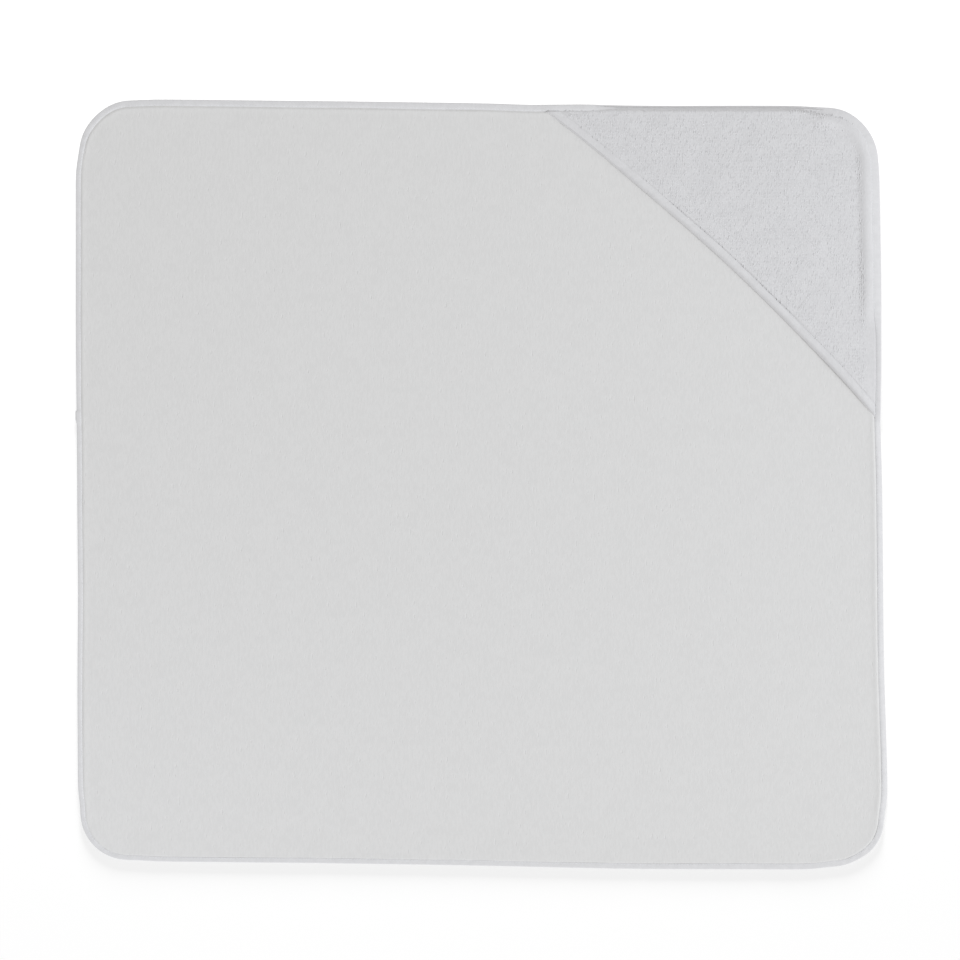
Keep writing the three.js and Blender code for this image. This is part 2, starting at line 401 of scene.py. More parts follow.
def towelling(name, colour, shade, loop_mm, depth, flecks, sheen):
    """Cotton towelling: a matt pile with a faint sheen at grazing angles, whose tufts run along the cloth's
    length in short dashes. Their pitch is a real loop's, about 1.5 by 3 mm. Where it is sheared, rows of
    tufts cut a little shorter show as faint streaks, and the deepest of them as flecks, short dents."""
    material, tree, shader = new_material(name)
    place = add_node(tree, "ShaderNodeUVMap", uv_map="cloth")
    stretched = add_node(tree, "ShaderNodeMapping", {
        "Vector": place.outputs["UV"], "Scale": (1 / (loop_mm[0] * MM), 1 / (loop_mm[1] * MM), 1)})
    tufts = add_node(tree, "ShaderNodeTexNoise", {
        "Vector": stretched.outputs["Vector"], "Scale": 1.0, "Detail": 2.0, "Roughness": 0.6})
    patches = add_node(tree, "ShaderNodeTexNoise", {
        "Vector": place.outputs["UV"], "Scale": 1 / PATCH_SIZE, "Detail": 3.0})
    long_way = add_node(tree, "ShaderNodeMapping", {
        "Vector": place.outputs["UV"], "Scale": (1 / STREAK_WIDTH, 1 / STREAK_LENGTH, 1)})
    shorter = add_node(tree, "ShaderNodeTexNoise", {
        "Vector": long_way.outputs["Vector"], "Scale": 1.0, "Detail": 1.0})
    streaks = add_node(tree, "ShaderNodeMath", {
        0: shorter.outputs["Fac"], 1: 1.10 * flecks, 2: 0.12 - 0.55 * flecks}, operation="MULTIPLY_ADD")
    mixed = add_node(tree, "ShaderNodeMath", {
        0: tufts.outputs["Fac"], 1: patches.outputs["Fac"], 2: streaks.outputs["Value"]},
        operation="MULTIPLY_ADD")
    ramp = add_node(tree, "ShaderNodeValToRGB", {"Fac": mixed.outputs["Value"]})
    ramp.color_ramp.elements[0].position, ramp.color_ramp.elements[1].position = 0.22, 0.5
    ramp.color_ramp.elements[0].color = linear(shade)
    ramp.color_ramp.elements[1].color = linear(colour)
    dents = add_node(tree, "ShaderNodeMapRange", {
        "Value": shorter.outputs["Fac"], "From Min": 0.67, "From Max": 0.76, "To Max": -flecks})
    relief = add_node(tree, "ShaderNodeMath", {
        0: tufts.outputs["Fac"], 1: dents.outputs["Result"]}, operation="ADD")
    bump = add_node(tree, "ShaderNodeBump", {
        "Strength": 1.0, "Distance": depth, "Height": relief.outputs["Value"]})
    tree.links.new(ramp.outputs["Color"], shader.inputs["Base Color"])
    tree.links.new(bump.outputs["Normal"], shader.inputs["Normal"])
    shader.inputs["Roughness"].default_value = 0.95
    shader.inputs["IOR"].default_value = 1.5
    shader.inputs["Specular IOR Level"].default_value = 0.25
    shader.inputs["Sheen Weight"].default_value = sheen
    shader.inputs["Sheen Roughness"].default_value = 0.45
    return material


# Its pile is cut level, so it is smooth, matt and nearly even to the eye.
sheared_terry = towelling("sheared_cotton_terry", "#E4E3E2", "#E1E0DF", (1.5, 3.2), 0.16 * MM, 1.1, 0.10)

grid_x, grid_y = np.meshgrid(
    spaced_lines(half_length, PANEL_EDGE), spaced_lines(half_width, PANEL_EDGE), indexing="ij")
flat_x, flat_y = round_corners(grid_x, grid_y)
lie_x, lie_y = laid(flat_x, flat_y)
panel = sheet_piece(
    "towel_cloth",
    np.stack([lie_x, lie_y, panel_top(flat_x, flat_y)], -1),
    np.stack([lie_x, lie_y, panel_underside(flat_x, flat_y)], -1),
    np.stack([flat_x, flat_y], -1),
    sheared_terry,
)


def bend_at_fold(piece, *nodes):
    """Bakes the piece's placement into its mesh, and hides the two CAD halves that it stands for."""
    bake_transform(piece)
    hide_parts(*nodes)


bend_at_fold(panel, "towel_panel", "towel_panel_hood_corner")

# Edge binding: a bias-cut cotton tape folded over the towel's raw edge and sewn through near its inner
# side. It is thicker beside the hood, where it holds two cloths, and its end laps over its beginning.
TAPE_STEP = 1.3 * MM
TAPE_HEIGHT = PANEL_RIM_LOW + PANEL_RIM_HIGH
STITCH_PITCH = 3.0 * MM
LAP_Y, LAP_LENGTH, LAP_RISE = 62 * MM, 14 * MM, 0.7 * MM


def edge_stations(step):
    """Stops along the edge, anticlockwise from the middle of the right side: for each, the point that the
    outline is CORNER_RADIUS from, the way out, and the length travelled along the seam."""
    centre_x, centre_y = half_length - CORNER_RADIUS, half_width - CORNER_RADIUS
    corners = [(centre_x, centre_y), (-centre_x, centre_y), (-centre_x, -centre_y), (centre_x, -centre_y)]
    arc = (CORNER_RADIUS - SEAM_INSET) * math.pi / 2
    stops = []
    for turn, corner in enumerate(corners):
        angle = turn * math.pi / 2
        previous = corners[turn - 1]
        side = math.dist(previous, corner)
        for share in np.linspace(0, 1, max(2, round(side / step)), endpoint=False):
            centre = [a + (b - a) * share for a, b in zip(previous, corner)]
            stops.append((*centre, math.cos(angle), math.sin(angle)))
        for share in np.linspace(0, 1, max(2, round(arc / step)), endpoint=False):
            turned = angle + share * math.pi / 2
            stops.append((*corner, math.cos(turned), math.sin(turned)))
    stops = np.array(stops)
    seam = stops[:, :2] + stops[:, 2:] * (CORNER_RADIUS - SEAM_INSET)
    steps = np.linalg.norm(np.roll(seam, -1, 0) - seam, axis=1)
    return stops, np.concatenate([[0], np.cumsum(steps)])


# Half of the tape's section, from the middle of its outer fold to the inner side of its upper leaf and
# back under it: share of the way in, share of the half height, and how many leaf thicknesses below that.
LEAF = 1.18 * MM
EDGE_SEAM = 8
EDGE_SECTION = [
    (0.000, 0.00, 0.00), (0.010, 0.45, 0.00), (0.030, 0.72, 0.00), (0.075, 0.88, 0.00), (0.150, 0.96, 0.00),
    (0.270, 1.00, 0.00), (0.560, 1.00, 0.00), (0.720, 1.00, 0.06), (0.810, 1.00, 0.24), (0.870, 1.00, 0.34),
    (0.930, 1.00, 0.44), (0.980, 1.00, 0.64), (1.000, 1.00, 0.90), (0.900, 1.00, 1.00), (0.400, 1.00, 1.00),
]


def both_leaves(upper):
    """A tape's whole section from its upper half, and which leaf each point is on: 1 upper, -1 lower."""
    leaf = [1.0] * len(upper) + [-1.0] * (len(upper) - 1)
    return np.array(upper + upper[:0:-1]), np.array(leaf)


def ripple_along(travelled, size, seed):
    """Ripple along a tape's length, one value for each of its rings."""
    return ripple(travelled, 0 * travelled, size, seed)[:, None]


def swept_piece(name, rings, travelled, around, material, closed):
    """A tape from one ring of points at each stop. Its weave runs along and around it."""
    stops, size = rings.shape[:2]
    index = np.arange(stops * size).reshape(stops, size)
    here = index if closed else index[:-1]
    after = np.roll(index, -1, 0)[:len(here)]
    quads = np.stack([here, after, np.roll(after, -1, 1), np.roll(here, -1, 1)], -1).reshape(-1, 4)
    start, end = travelled[:len(here), None], travelled[1:len(here) + 1, None]
    left, right = around[None, :-1], around[None, 1:]
    shape = (len(here), size)
    uv = np.stack([
        np.stack([np.broadcast_to(u, shape), np.broadcast_to(v, shape)], -1)
        for u, v in ((start, left), (end, left), (end, right), (start, right))
    ], 2).reshape(-1, 2)
    faces = quads.tolist()
    if not closed:
        faces += [index[0].tolist(), index[-1, ::-1].tolist()]
        uv = np.concatenate([uv, np.zeros((2 * size, 2))])
    mesh = bpy.data.meshes.new(name)
    mesh.from_pydata(rings.reshape(-1, 3).tolist(), [], faces)
    mesh.uv_layers.new(name="cloth").uv.foreach_set("vector", uv.astype(np.float32).ravel())
    mesh.polygons.foreach_set("use_smooth", np.ones(len(faces), bool))
    mesh.materials.append(material)
    piece = bpy.data.objects.new(name, mesh)
    bpy.context.scene.collection.objects.link(piece)
    return piece


def cotton_tape(name, colour, shade):
    """Plain-woven cotton cut on the bias: matt, with fine threads at 45 degrees. The real threads are
    0.3 mm apart; they are drawn 0.9 mm apart so that the weave shows."""
    material, tree, shader = new_material(name)
    place = add_node(tree, "ShaderNodeUVMap", uv_map="cloth")
    turned = add_node(tree, "ShaderNodeMapping", {
        "Vector": place.outputs["UV"], "Rotation": (0, 0, math.radians(45)),
        "Scale": (1 / (0.9 * MM), 1 / (0.9 * MM), 1)})
    weave = add_node(tree, "ShaderNodeTexChecker", {"Vector": turned.outputs["Vector"], "Scale": 1.0})
    slubs = add_node(tree, "ShaderNodeTexNoise", {
        "Vector": place.outputs["UV"], "Scale": 1 / (6 * MM), "Detail": 4.0})
    ramp = add_node(tree, "ShaderNodeValToRGB", {"Fac": slubs.outputs["Fac"]})
    ramp.color_ramp.elements[0].position, ramp.color_ramp.elements[1].position = 0.35, 0.65
    ramp.color_ramp.elements[0].color = linear(shade)
    ramp.color_ramp.elements[1].color = linear(colour)
    bump = add_node(tree, "ShaderNodeBump", {
        "Strength": 0.6, "Distance": 0.05 * MM, "Height": weave.outputs["Fac"]})
    tree.links.new(ramp.outputs["Color"], shader.inputs["Base Color"])
    tree.links.new(bump.outputs["Normal"], shader.inputs["Normal"])
    shader.inputs["Roughness"].default_value = 0.82
    shader.inputs["IOR"].default_value = 1.5
    shader.inputs["Specular IOR Level"].default_value = 0.3
    shader.inputs["Sheen Weight"].default_value = 0.1
    return material


bias_tape = cotton_tape("bias_cut_cotton_tape", "#E4E3E4", "#DFDEDF")

edge_section, over = both_leaves(EDGE_SECTION)
section_in, section_half, section_drop = edge_section.T[:, None, :]
outline = np.vstack([edge_section, edge_section[:1]])
around = np.concatenate([[0], np.cumsum(np.hypot(*np.diff(outline[:, :2].T)))])

edge_stops, edge_travelled = edge_stations(TAPE_STEP)
centre_x, centre_y, out_x, out_y = edge_stops.T
along_edge = edge_travelled[:-1]
to_seam = CORNER_RADIUS - SEAM_INSET
reach_in = tape_reach(centre_x + to_seam * out_x, centre_y + to_seam * out_y)[:, None]
inset = section_in * (reach_in * (1 + 0.06 * ripple_along(along_edge, 60 * MM, 21)))
ring_x = centre_x[:, None] + (CORNER_RADIUS - inset) * out_x[:, None]
ring_y = centre_y[:, None] + (CORNER_RADIUS - inset) * out_y[:, None]
hem, rolled, pressed = turned_hem(ring_x, ring_y), rolled_over(ring_x, ring_y), ironed(ring_y)
on_hood = hood_share(ring_x, ring_y)

# Each leaf's outer face is flat over the cloth that it holds and dips into the seam, but lies nearly level
# with the pile beside it in the hem and where it was pressed.
half_height = (TAPE_HEIGHT + on_hood * (HOODED_TAPE_HEIGHT - TAPE_HEIGHT)) / 2
upper_face = (over > 0) & (section_drop < 0.9)
dip = section_drop * np.where(section_drop < 0.87, 1 - 0.8 * np.maximum(hem, pressed), 1)
height = section_half * half_height - dip * LEAF

# In the hem the upper face rolls down from the hood's cloth to the outer fold.
roll_down = half_height + (0.9 - 2.4 * (1 - section_in) ** 1.3) * MM
in_roll = np.where(section_half < 1, np.minimum(height, roll_down), roll_down - section_drop * 0.3 * LEAF)
height = height + upper_face * hem * (in_roll - height)

# Along the bare part of the +X side it droops towards the outer fold.
bare_side = near_side(ring_x, half_length, 60, 15) * (1 - hem) * (1 - on_hood) * (1 - pressed)
height = height - upper_face * bare_side * 1.9 * MM * section_half * (1 - section_in) ** 2

# Where it has rolled over, it is one slope from the table up to the hood's cloth.
slope = np.minimum(height, (rolled_face(section_in) - 1) * half_height)
height = height + upper_face * rolled * (slope - height)
height = np.where((over < 0) & (section_half < 1), height + rolled * (half_height - height), height)

# Sewing leaves it uneven: it swells along its length, rises and dips with each stitch, and is gathered
# round the corners.
outside = (section_drop < 0.9) & (section_half > 0.3)
swell = 1 + 0.05 * ripple_along(along_edge, 24 * MM, 23)
stitch_wave = np.cos(2 * math.pi * along_edge / STITCH_PITCH)[:, None]
at_corner = (np.abs(out_x * out_y) > 0.02).astype(float)[:, None]
gathers = ripple_along(along_edge, 5 * MM, 22) * (0.10 + 0.28 * at_corner)
near_seam = mound(inset, SEAM_INSET, 1.4 * MM)
height = height * np.where(outside, swell, 1) + (0.10 * stitch_wave + gathers) * near_seam * MM * outside

# The lap, on the -X side: the tape's end comes down sharply, and its beginning runs out under it.
from_start = centre_y[:, None] - (LAP_Y - LAP_LENGTH / 2)
to_end = LAP_Y + LAP_LENGTH / 2 - centre_y[:, None]
lap = LAP_RISE * (out_x < -0.99)[:, None] * smooth(to_end, 0, 1.2 * MM) * smooth(from_start, 0, 5 * MM)
height = height + lap * outside * (over > 0)
ring_z = np.maximum(half_height + over * height, 0) * squeeze(ring_x, ring_y)
lie_x, lie_y = laid(ring_x, ring_y)
lie_x -= 1.6 * lap * np.clip(1 - section_in * 3, 0, 1)
edge_rings = np.stack([lie_x, lie_y, ring_z], -1)
edge_binding = swept_piece(
    "edge_tape", edge_rings, edge_travelled, around * TAPE_INSET, bias_tape, closed=True)
bend_at_fold(edge_binding, "edge_binding", "edge_binding_hood_corner")

# Edge seam: one run of lockstitch through the tape and the cloth in it, a needle thread above and a bobbin
# thread below, both cotton. Each stitch shows as a short grain of thread, drawn into the tape at its ends.
STITCH_LENGTH = 2.4 * MM
THREAD_THICKNESS = 0.55 * MM
THREAD_SINK = 0.06 * MM


def sewing_thread(name, colour, shade):
    """Twisted cotton thread: two plies wound round each other about every 1 mm, with a soft shine."""
    material, tree, shader = new_material(name)
    place = add_node(tree, "ShaderNodeTexCoord")
    plies = add_node(tree, "ShaderNodeTexNoise", {
        "Vector": place.outputs["Object"], "Scale": 1 / (1.0 * MM), "Detail": 1.0})
    ramp = add_node(tree, "ShaderNodeValToRGB", {"Fac": plies.outputs["Fac"]})
    ramp.color_ramp.elements[0].color = linear(shade)
    ramp.color_ramp.elements[1].color = linear(colour)
    bump = add_node(tree, "ShaderNodeBump", {
        "Strength": 0.5, "Distance": 0.08 * MM, "Height": plies.outputs["Fac"]})
    tree.links.new(ramp.outputs["Color"], shader.inputs["Base Color"])
    tree.links.new(bump.outputs["Normal"], shader.inputs["Normal"])
    shader.inputs["Roughness"].default_value = 0.6
    shader.inputs["IOR"].default_value = 1.5
    return material


def new_tree(name, **sizes):
    """A Geometry Nodes tree with a mesh and a material going in, named sizes, and a mesh coming out."""
    tree = bpy.data.node_groups.new(name, "GeometryNodeTree")
    tree.interface.new_socket("Geometry", in_out="OUTPUT", socket_type="NodeSocketGeometry")
    tree.interface.new_socket("Geometry", in_out="INPUT", socket_type="NodeSocketGeometry")
    tree.interface.new_socket("Material", in_out="INPUT", socket_type="NodeSocketMaterial")
    for size_name, value in sizes.items():
        kind = "NodeSocketInt" if isinstance(value, int) else "NodeSocketFloat"
        socket = tree.interface.new_socket(size_name, in_out="INPUT", socket_type=kind)
        socket.default_value = value
    return tree, add_node(tree, "NodeGroupInput").outputs


def finish_tree(tree, instances, material):
    """Makes the instances real and smooth, gives them the material and sends them out."""
    real = add_node(tree, "GeometryNodeRealizeInstances", {"Geometry": instances})
    soft = add_node(tree, "GeometryNodeSetShadeSmooth", {"Geometry": real.outputs["Geometry"]})
    done = add_node(tree, "GeometryNodeSetMaterial", {
        "Geometry": soft.outputs["Geometry"], "Material": material})
    add_node(tree, "NodeGroupOutput", {"Geometry": done.outputs["Geometry"]})


def grown_piece(name, source, tree, material, **sizes):
    """The plain mesh that a tree makes from a source mesh."""
    carrier = bpy.data.objects.new(name + "_carrier", source)
    bpy.context.scene.collection.objects.link(carrier)
    modifier = carrier.modifiers.new("grow", "NODES")
    modifier.node_group = tree
    for item in tree.interface.items_tree:
        if item.in_out == "INPUT" and item.name == "Material":
            modifier[item.identifier] = material
        elif item.in_out == "INPUT" and item.name in sizes:
            modifier[item.identifier] = sizes[item.name]
    grown = carrier.evaluated_get(bpy.context.evaluated_depsgraph_get())
    piece = bpy.data.objects.new(name, bpy.data.meshes.new_from_object(grown))
    bpy.data.objects.remove(carrier)
    bpy.context.scene.collection.objects.link(piece)
    return piece


def path_mesh(points, closed):
    """A bare line of edges through points."""
    mesh = bpy.data.meshes.new("path")
    links = [(i, i + 1) for i in range(len(points) - 1)] + ([(len(points) - 1, 0)] if closed else [])
    mesh.from_pydata(points.tolist(), links, [])
    return mesh


def lowered(points, depth):
    """Points moved down by depth."""
    return points - np.array([0, 0, 1]) * depth


stitch_tree, stitch_input = new_tree(
    "lockstitch", Pitch=STITCH_PITCH, Length=STITCH_LENGTH, Thickness=THREAD_THICKNESS)
seam = add_node(stitch_tree, "GeometryNodeMeshToCurve", {"Mesh": stitch_input["Geometry"]})
evenly = add_node(stitch_tree, "GeometryNodeResampleCurve", {
    "Curve": seam.outputs["Curve"], "Length": stitch_input["Pitch"]}, mode="LENGTH")
heading = add_node(stitch_tree, "GeometryNodeInputTangent")
turned = add_node(stitch_tree, "FunctionNodeAlignRotationToVector", {
    "Vector": heading.outputs["Tangent"]}, axis="X")
grain_size = add_node(stitch_tree, "ShaderNodeCombineXYZ", {
    "X": stitch_input["Length"], "Y": stitch_input["Thickness"], "Z": stitch_input["Thickness"]})
grain = add_node(stitch_tree, "GeometryNodeMeshUVSphere", {"Segments": 6, "Rings": 4, "Radius": 0.5})
lying = add_node(stitch_tree, "GeometryNodeTransform", {
    "Geometry": grain.outputs["Mesh"], "Rotation": (0, math.pi / 2, 0)})
stitches = add_node(stitch_tree, "GeometryNodeInstanceOnPoints", {
    "Points": evenly.outputs["Curve"], "Instance": lying.outputs["Geometry"],
    "Rotation": turned.outputs["Rotation"], "Scale": grain_size.outputs["Vector"]})
finish_tree(stitch_tree, stitches.outputs["Instances"], stitch_input["Material"])

cotton_thread = sewing_thread("twisted_cotton_thread", "#F1F2F4", "#E6E7E9")
needle_path = lowered(edge_rings[:, EDGE_SEAM], THREAD_SINK + 0.4 * MM * rolled[:, EDGE_SEAM, None])
bobbin_path = edge_rings[:, -EDGE_SEAM] * [1, 1, 0] + [0, 0, THREAD_THICKNESS / 2]
edge_needle_thread = grown_piece(
    "edge_needle_stitches", path_mesh(needle_path, True), stitch_tree, cotton_thread)
bend_at_fold(edge_needle_thread, "edge_needle_thread", "edge_needle_thread_hood_corner")
edge_bobbin_thread = grown_piece(
    "edge_bobbin_stitches", path_mesh(bobbin_path, True), stitch_tree, cotton_thread)
bend_at_fold(edge_bobbin_thread, "edge_bobbin_thread", "edge_bobbin_thread_hood_corner")

# Hood: a triangle of looped towelling, laid over one corner and caught in the edge binding along two sides.
# Its long side is free and bound with tape, and is the mouth of the pocket that the baby's head goes in.
# The cloth stands a little off the panel under its middle.
HOOD_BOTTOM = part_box("hood")[0].z
MOUTH_BOW = 11 * MM
HOOD_GROUND = 1.6 * MM
PILE_RISE = 0.7 * MM
HOOD_RIM = 1.2 * MM
HOOD_SEWN_AT = 2.5 * MM
HOOD_EDGE = 1.5 * MM
HOOD_STEP = 2.2 * MM
HOOD_LIFT, LIFT_RUN = 2.2 * MM, 90 * MM
MOUTH_LIFT = 1.1 * MM
MOUTH_TAPE_WIDTH = 8.8 * MM
HALVINGS = 40


def mouth_point(along, inward):
    """A point of the hood from its place along its mouth and its distance in from the mouth's edge."""
    bow = MOUTH_BOW * (1 - (along / mouth_half) ** 2) + inward
    return (mouth_centre.x + along * along_mouth.x + bow * into_corner.x,
            mouth_centre.y + along * along_mouth.y + bow * into_corner.y)


def distance_to_sewn_side(along, depth):
    """How far into the corner the hood's cloth runs at each place along its mouth, found by halving."""
    near, far = np.zeros_like(along), np.full_like(along, 2 * mouth_half)
    for _ in range(HALVINGS):
        middle = (near + far) / 2
        inside = edge_depth(*mouth_point(along, middle)) > depth
        near, far = np.where(inside, middle, near), np.where(inside, far, middle)
    return near


def hood_rise(x, y):
    """How far the hood's underside stands off the panel: most under the middle of its cloth, and a little at
    the lower end of its mouth, where the tape is stiff. The rest of the mouth lies close."""
    from_side = smooth(half_length - x, 8 * MM, LIFT_RUN) * smooth(half_width - y, 8 * MM, LIFT_RUN)
    along, past_mouth = from_mouth(x, y)
    in_middle = smooth(past_mouth, 5 * MM, 70 * MM)
    stiff = mound(along, 168 * MM, 34 * MM) * (1 - smooth(past_mouth, 10 * MM, 50 * MM))
    uneven = 1 + ripple(x, y, 45 * MM, 31) + 0.35 * ripple(x, y, 8 * MM, 32)
    soft = 0.30 * MM * uneven * smooth(half_length - x, 8 * MM, 40 * MM)
    return HOOD_LIFT * from_side * (0.12 + 0.88 * in_middle) + MOUTH_LIFT * stiff + soft


def creased(x, y):
    """1 in the middle part of the mouth, where its tape stands open from the pile beside it."""
    along, _ = from_mouth(x, y)
    open_part = smooth(along, -75 * MM, -50 * MM) * (1 - smooth(along, 110 * MM, 130 * MM))
    return open_part * (1 - 0.6 * mound(along, 60 * MM, 14 * MM))


def seam_press(x, y, inward):
    """0 where the hood's cloth is pressed flat in a tape, and 1 where its pile stands free."""
    shut = inward - MOUTH_TAPE_WIDTH - 0.9 * MM * creased(x, y)
    beside = edge_depth(x, y) - tape_reach(x, y) + 1.6 * MM * turned_hem(x, y)
    return smooth(beside, -1.6 * MM, 0.8 * MM) * smooth(shut, -0.6 * MM, 0.5 * MM)


def side_roll(x, y):
    """How high the hem along the hood's outer side climbs to a low roll, and drops again into the tape."""
    depth = edge_depth(x, y)
    climb, drop = 1 - smooth(depth, 14.5 * MM, 23.5 * MM), 1 - smooth(depth, 6 * MM, 14 * MM)
    return turned_hem(x, y) * (2.5 * climb - 1.5 * drop) * MM


reach_along = np.linspace(-mouth_half, mouth_half, 4001)
long_enough = distance_to_sewn_side(reach_along, HOOD_SEWN_AT) > 7 * MM
first, last = reach_along[long_enough][[0, -1]]
hood_along = np.linspace(first, last, round((last - first) / HOOD_STEP))
hood_run = distance_to_sewn_side(hood_along, HOOD_SEWN_AT)

# Rows run from the mouth to the corner, close together at both, and stand here in mm of the longest run.
rows = np.concatenate([np.arange(0, 15, 0.75), np.linspace(15, 217, 68), np.arange(218.4, 231, 1.4), [231]])
along_grid = np.repeat(hood_along[:, None], len(rows), 1)
in_grid = rows / rows[-1] * (hood_run[:, None] - HOOD_EDGE) + HOOD_EDGE
flat_x, flat_y = mouth_point(along_grid, in_grid)
press = seam_press(flat_x, flat_y, in_grid)
squeezed = squeeze(flat_x, flat_y)
at_mouth = 1 - smooth(in_grid, MOUTH_TAPE_WIDTH, 24 * MM)
at_side = 1 - smooth(edge_depth(flat_x, flat_y), TAPE_INSET, 14 * MM)
rim_middle = HOOD_BOTTOM + HOOD_RIM / 2 + LEAF * at_mouth * (1 - at_side)
middle = rim_middle + hood_rise(flat_x, flat_y) + press * (PILE_RISE + side_roll(flat_x, flat_y))
middle = middle * squeezed
half_thick = (HOOD_RIM + press * (HOOD_GROUND - HOOD_RIM)) / 2 * squeezed
upper_limit, lower_limit = under_roll(flat_x, flat_y, 0.3 * MM), under_roll(flat_x, flat_y, 0.75 * MM)
lie_x, lie_y = laid(flat_x, flat_y)
hood_top = np.stack([lie_x, lie_y, np.minimum(middle + half_thick, upper_limit)], -1)
hood_underside = np.stack([lie_x, lie_y, np.minimum(middle - half_thick, lower_limit)], -1)

# The cloth that the loops stand on: coloured a little darker than the yarn on top as painted shade between
# the loops, and the bare hem, the same cloth, is darkened with it.
terry_ground_painted_shade = towelling("terry_ground_weave", "#E2E1E2", "#DBDADB", (1.9, 3.4), 0.3 * MM, 0.0, 0.10)
hood = sheet_piece(
    "hood_cloth", hood_top, hood_underside, np.stack([flat_x, flat_y], -1), terry_ground_painted_shade)
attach(hood, "hood_corner")
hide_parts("hood")

# Hood's pile: uncut loops of soft cotton yarn woven into the cloth in columns, a little crowded and crooked.
# They end short of the pressed hem on the outer side, and reach the edge tape on the other. Real columns
# are about 1.5 mm apart; these are 1.9 mm apart so that single loops show.
COLUMN_PITCH, ROW_PITCH = 1.9 * MM, 3.2 * MM
LOOP_LENGTH, LOOP_HEIGHT, YARN = 3.8 * MM, 0.5 * MM, 1.5 * MM
LOOP_SUNK, LOOP_JITTER = 0.68 * MM, 0.55 * MM

# Soft uncut yarn: matt and even, because the loops themselves give it its light and shade.
looped_terry = towelling("looped_cotton_terry", "#E7E6E7", "#E0DFE0", (1.9, 3.4), 0.2 * MM, 0.0, 0.12)

loop_tree, loop_input = new_tree(
    "terry_loops", Columns=100, Rows=100, Width=1.0, Depth=1.0, Jitter=0.001, Length=LOOP_LENGTH,
    Height=LOOP_HEIGHT, Yarn=YARN, Seed=5)
lattice = add_node(loop_tree, "GeometryNodeMeshGrid", {
    "Size X": loop_input["Width"], "Size Y": loop_input["Depth"],
    "Vertices X": loop_input["Columns"], "Vertices Y": loop_input["Rows"]})
extent = add_node(loop_tree, "GeometryNodeBoundBox", {"Geometry": loop_input["Geometry"]})
corner_sum = add_node(loop_tree, "ShaderNodeVectorMath", {
    0: extent.outputs["Min"], 1: extent.outputs["Max"]}, operation="ADD")
centre = add_node(loop_tree, "ShaderNodeVectorMath", {
    0: corner_sum.outputs["Vector"], "Scale": 0.5}, operation="SCALE")
widest = add_node(loop_tree, "ShaderNodeMath", {
    0: loop_input["Jitter"], 1: -1.0}, operation="MULTIPLY")
shift = add_node(loop_tree, "FunctionNodeRandomValue", {
    "Seed": loop_input["Seed"], "Min": widest.outputs["Value"], "Max": loop_input["Jitter"]},
    data_type="FLOAT_VECTOR")
scatter = add_node(loop_tree, "ShaderNodeVectorMath", {
    0: centre.outputs["Vector"], 1: shift.outputs["Value"]}, operation="ADD")
spread = add_node(loop_tree, "GeometryNodeSetPosition", {
    "Geometry": lattice.outputs["Mesh"], "Offset": scatter.outputs["Vector"]})
here = add_node(loop_tree, "GeometryNodeInputPosition")
apart = add_node(loop_tree, "ShaderNodeSeparateXYZ", {"Vector": here.outputs["Position"]})
above = add_node(loop_tree, "ShaderNodeCombineXYZ", {
    "X": apart.outputs["X"], "Y": apart.outputs["Y"], "Z": 0.1})
down = add_node(loop_tree, "GeometryNodeRaycast", {
    "Target Geometry": loop_input["Geometry"], "Source Position": above.outputs["Vector"],
    "Ray Direction": (0, 0, -1), "Ray Length": 0.2})
off_cloth = add_node(loop_tree, "FunctionNodeBooleanMath", {0: down.outputs["Is Hit"]}, operation="NOT")
kept = add_node(loop_tree, "GeometryNodeDeleteGeometry", {
    "Geometry": spread.outputs["Geometry"], "Selection": off_cloth.outputs["Boolean"]}, domain="POINT")
landed = add_node(loop_tree, "GeometryNodeSetPosition", {
    "Geometry": kept.outputs["Geometry"], "Position": down.outputs["Hit Position"]})
arc = add_node(loop_tree, "GeometryNodeCurveArc", {
    "Resolution": 5, "Radius": 1.0, "Start Angle": 0.0, "Sweep Angle": math.pi})
half_length_of_loop = add_node(loop_tree, "ShaderNodeMath", {
    0: loop_input["Length"], 1: 0.5}, operation="MULTIPLY")
arch_size = add_node(loop_tree, "ShaderNodeCombineXYZ", {
    "X": half_length_of_loop.outputs["Value"], "Y": loop_input["Height"], "Z": 1.0})
sized = add_node(loop_tree, "GeometryNodeTransform", {
    "Geometry": arc.outputs["Curve"], "Scale": arch_size.outputs["Vector"]})
upright = add_node(loop_tree, "GeometryNodeTransform", {
    "Geometry": sized.outputs["Geometry"], "Rotation": (math.pi / 2, 0, math.pi / 2)})
half_yarn = add_node(loop_tree, "ShaderNodeMath", {
    0: loop_input["Yarn"], 1: 0.5}, operation="MULTIPLY")
yarn_round = add_node(loop_tree, "GeometryNodeCurvePrimitiveCircle", {
    "Resolution": 3, "Radius": half_yarn.outputs["Value"]})
one_loop = add_node(loop_tree, "GeometryNodeCurveToMesh", {
    "Curve": upright.outputs["Geometry"], "Profile Curve": yarn_round.outputs["Curve"], "Fill Caps": True})
lean = add_node(loop_tree, "FunctionNodeRandomValue", {
    "Min": (-0.10, -0.20, -0.25), "Max": (0.10, 0.20, 0.25), "Seed": 9}, data_type="FLOAT_VECTOR")
crook = add_node(loop_tree, "FunctionNodeEulerToRotation", {"Euler": lean.outputs["Value"]})
stature = add_node(loop_tree, "FunctionNodeRandomValue", {
    "Min": (0.85, 0.75, 0.70), "Max": (1.15, 1.30, 1.15), "Seed": 13}, data_type="FLOAT_VECTOR")
loops = add_node(loop_tree, "GeometryNodeInstanceOnPoints", {
    "Points": landed.outputs["Geometry"], "Instance": one_loop.outputs["Mesh"],
    "Rotation": crook.outputs["Rotation"], "Scale": stature.outputs["Value"]})
finish_tree(loop_tree, loops.outputs["Instances"], loop_input["Material"])


